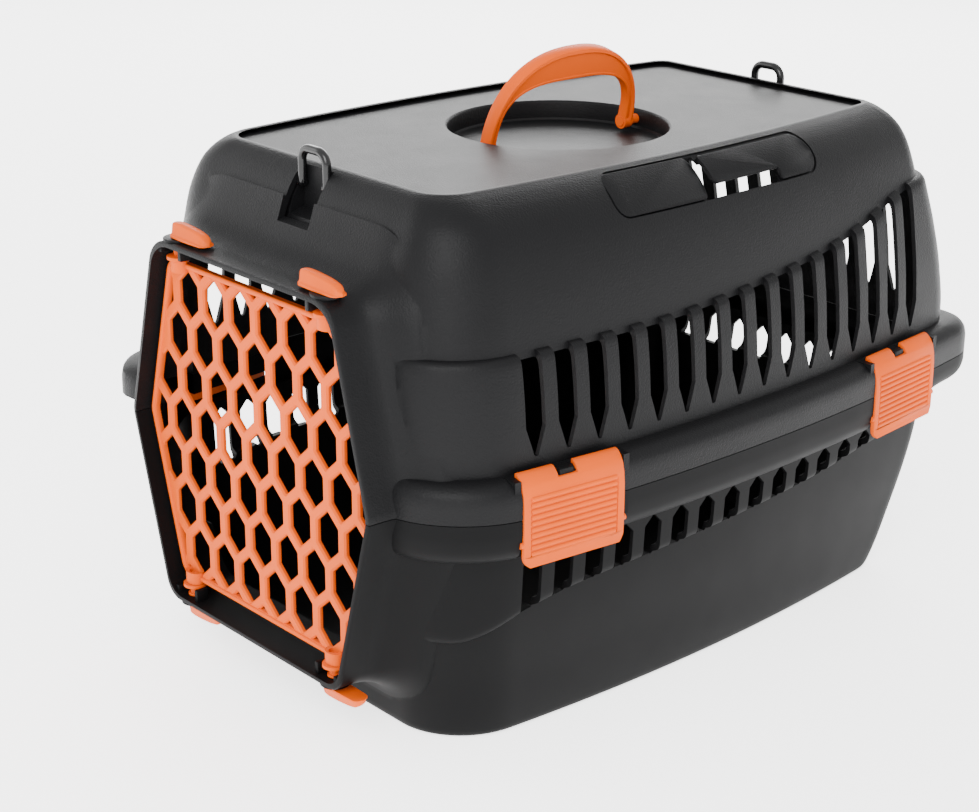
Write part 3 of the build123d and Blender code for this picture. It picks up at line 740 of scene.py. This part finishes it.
# clips
def make_clip(side, place, node, body):
    half = CLIP_W / 2
    low, top = CLIP_LOW - CLIP_PIVOT, CLIP_TOP - CLIP_PIVOT
    face = [(-6.6, top + 0.6), (-4.8, top + 0.4), (-3.6, top - 0.4), (-1.2, top - 2.6), (0.6, top - 6.0),
            (1.8, top - 11.0), (2.4, top - 17.0), (CLIP_OUT, 14.0), (CLIP_OUT, 2.0), (CLIP_OUT, low + 6.0),
            (CLIP_OUT + 0.2, low + 2.0), (CLIP_OUT + 0.8, low)]
    back = []
    for i, (x, z) in enumerate(face):
        a, b = face[max(i - 1, 0)], face[min(i + 1, len(face) - 1)]
        along = Vector((b[0] - a[0], b[1] - a[1])).normalized()
        back.append((x + along.y * CLIP_T, z - along.x * CLIP_T))
    plate = tube("clip", prism(face + back[::-1], -half, half, "y"))
    mask = rounded(square(-half, half, low - 1.0, top + 10.0), [7.0, 7.0, 2.5, 2.5], 8)
    boolean(plate, tube("mask", prism(mask, -20.0, 20.0)), "INTERSECT")
    boolean(plate, joined_tubes("notch", [box(-16, 6, -9.5, 3.5, top - 4.8, top + 9)]))
    field = rounded(square(-half + 4.2, half - 4.2, low + 5.0, low + 38.5), 1.5, 4)
    boolean(plate, tube("field", prism(field, CLIP_OUT - 0.8, 6.0)))
    bevel(plate, 0.5, 2, 45.0)
    grids = []
    for i in range(10):
        z = low + 7.0 + i * 3.42
        ring = []
        for y, r in ((-half + 4.6, 0.3), (-half + 5.2, 1.0), (half - 5.2, 1.0), (half - 4.6, 0.3)):
            angles = [2 * pi * k / 16 for k in range(16)]
            ring.append([(CLIP_OUT - 0.76 + r * 1.05 * sin(t), y, z + 1.35 * r * cos(t)) for t in angles])
        grids.append(np.array(ring))
    grids.append(rod(1.8, (0.8, -half - 1.6, 0), (0.8, -half + 0.5, 0)))
    grids.append(rod(1.8, (0.8, half - 0.5, 0), (0.8, half + 1.6, 0)))
    ribs = joined_tubes("clip_ribs", grids)
    matrix = Matrix.Scale(MM, 4) @ clip_matrix(side, place) @ Matrix.Scale(1 / MM, 4)
    plate.data.transform(matrix)
    ribs.data.transform(matrix)
    plate.name = node + "_plate"
    ribs.name = node + "_ribs"
    finish_piece(plate, body, orange_plastic, node, 40.0)
    finish_piece(ribs, body, orange_plastic, None, 50.0)
    bar = joined_tubes("catch_" + place + ("_r" if side > 0 else "_l"),
                       [box(-9.0, -1.6, -7.6, 1.6, 28.0, top - 1.6)])
    bevel(bar, 0.5)
    bar.data.transform(matrix)
    finish_piece(bar, "shells", upper_plastic)


for clip in CLIPS:
    make_clip(*clip)


# handle
def make_handle():
    def arch(angle, half, height, fullness):
        c, s, power = cos(angle), max(sin(angle), 0.0), 2 / fullness
        return Vector((half * abs(c) ** power * (1 if c >= 0 else -1), height * s**power))

    steps = 72
    rows = []
    for i in range(steps + 1):
        outer = arch(pi * i / steps, 59.0, 55.5, 2.3)
        inner = arch(pi * i / steps, 52.5, 36.5, 3.3)
        depth = (outer - inner).length
        bead, low_bead = min(3.4, depth * 0.4), min(1.6, depth * 0.22)
        section = [(0.0, 3.2), (0.7, 4.2), (bead - 0.6, 4.5), (bead, 4.1), (bead + 0.5, 3.1),
                   (depth - low_bead - 0.4, 3.1), (depth - low_bead, 3.5), (depth - 0.4, 3.4), (depth, 2.8)]
        section = [(min(d, depth) / depth, w) for d, w in section]
        points = section + [(t, -w) for t, w in reversed(section)]
        rows.append([(w, outer.lerp(inner, t).x, outer.lerp(inner, t).y) for t, w in points])
    grids = [np.array(rows)]
    for sign in (-1, 1):
        grids.append(rod(4.5, (0, sign * 52.6, 0), (0, sign * 59.0, 0), 40))
        grids.append(rod(3.0, (0, sign * 52.0, 0), (0, sign * 68.0, 0)))
    handle = joined_tubes("handle", grids)
    place = Matrix.Translation((0, HANDLE_Y, 293.0)) @ Matrix.Rotation(radians(14.0), 4, "Y")
    handle.data.transform(Matrix.Scale(MM, 4) @ place @ Matrix.Scale(1 / MM, 4))
    finish_piece(handle, "handle", orange_plastic, "carry_handle", 38.0)


make_handle()

# strap loops keep their CAD shape
for place in ("front", "rear"):
    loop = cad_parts["strap_loop_" + place]
    for polygon in loop.data.polygons:
        polygon.use_smooth = True
    loop.data.materials.clear()
    loop.data.materials.append(loop_plastic)

# pegs, tabs and bosses by the keys
bits_up, bits_low = [], []
for name, sign, up, lip, shift in KEYS:
    x = sign * KEY_X
    bits = bits_up if up > 0 else bits_low
    bits.append(rod(8.6, (x, KEY_Y, lip - up * 1.0), (x, KEY_Y, lip + up * 1.4), 40))
    for a, b, y0, y1, reach in ((-10.5, -7.5, -237.0, -229.0, 10.0), (7.4, 10.4, -238.0, -232.0, 8.0)):
        bits.append(box(x + sign * a, x + sign * b, y0, y1, *sorted((lip - up * 2.6, lip - up * reach))))
for name, bits, material, slot in (("key_bosses_top", bits_up, upper_plastic, "upper_plastic"),
                                   ("key_bosses_bottom", bits_low, lower_plastic, "lower_plastic")):
    boss = joined_tubes(name, bits)
    bevel(boss, 0.4)
    finish_piece(boss, "shells", material)

# floor, lights and camera
floor_material = bpy.data.materials.new("floor")
floor_material.use_nodes = True
for word, value in (("Base Color", (0.92, 0.92, 0.92, 1)), ("Roughness", 0.8),
                    ("Emission Color", (1, 1, 1, 1)), ("Emission Strength", 2.4)):
    floor_material.node_tree.nodes["Principled BSDF"].inputs[word].default_value = value
FLOOR_HALF = 9000
corners = [(x * FLOOR_HALF, y * FLOOR_HALF, 0) for x, y in ((-1, -1), (1, -1), (1, 1), (-1, 1))]
floor = make_mesh("floor", corners, [(0, 1, 2, 3)])
floor.data.materials.append(floor_material)

world = bpy.data.worlds.new("world")
bpy.context.scene.world = world
world.use_nodes = True
world.node_tree.nodes["Background"].inputs["Color"].default_value = (1.0, 1.0, 1.0, 1.0)
world.node_tree.nodes["Background"].inputs["Strength"].default_value = 1.7


def area_light(name, place, target, size, power):
    """Rectangular light aimed at a point; metres and watts."""
    light = bpy.data.lights.new(name, "AREA")
    light.shape = "RECTANGLE"
    light.size, light.size_y = size
    light.energy = power
    obj = bpy.data.objects.new(name, light)
    bpy.context.scene.collection.objects.link(obj)
    obj.location = place
    obj.rotation_euler = (Vector(target) - Vector(place)).to_track_quat("-Z", "Y").to_euler()
    return obj


area_light("key", (1.0, -1.4, 1.3), (0, -0.1, 0.15), (1.2, 1.2), 46.0)
area_light("back", (-1.7, 1.6, 1.25), (0, 0, 0.28), (2.4, 1.1), 60.0)
area_light("left", (-1.8, -1.2, 0.9), (0, -0.1, 0.15), (1.0, 1.2), 12.0)

azimuth, elevation, roll = radians(48.45), radians(20.46), radians(0.31)
back = Vector((sin(azimuth) * cos(elevation), -cos(azimuth) * cos(elevation), sin(elevation)))
right = Vector((cos(azimuth), sin(azimuth), 0.0))
up = back.cross(right)
camera_x = cos(roll) * right + sin(roll) * up
camera_y = -sin(roll) * right + cos(roll) * up
lens = bpy.data.cameras.new("camera")
lens.lens = 74.87
lens.sensor_width = 36.0
lens.clip_start = 0.01
camera = bpy.data.objects.new("camera", lens)
bpy.context.scene.collection.objects.link(camera)
turn = Matrix((camera_x, camera_y, back)).transposed().to_4x4()
camera.matrix_world = Matrix.Translation((0.86787, -0.82789, 0.56517)) @ turn
bpy.context.scene.camera = camera
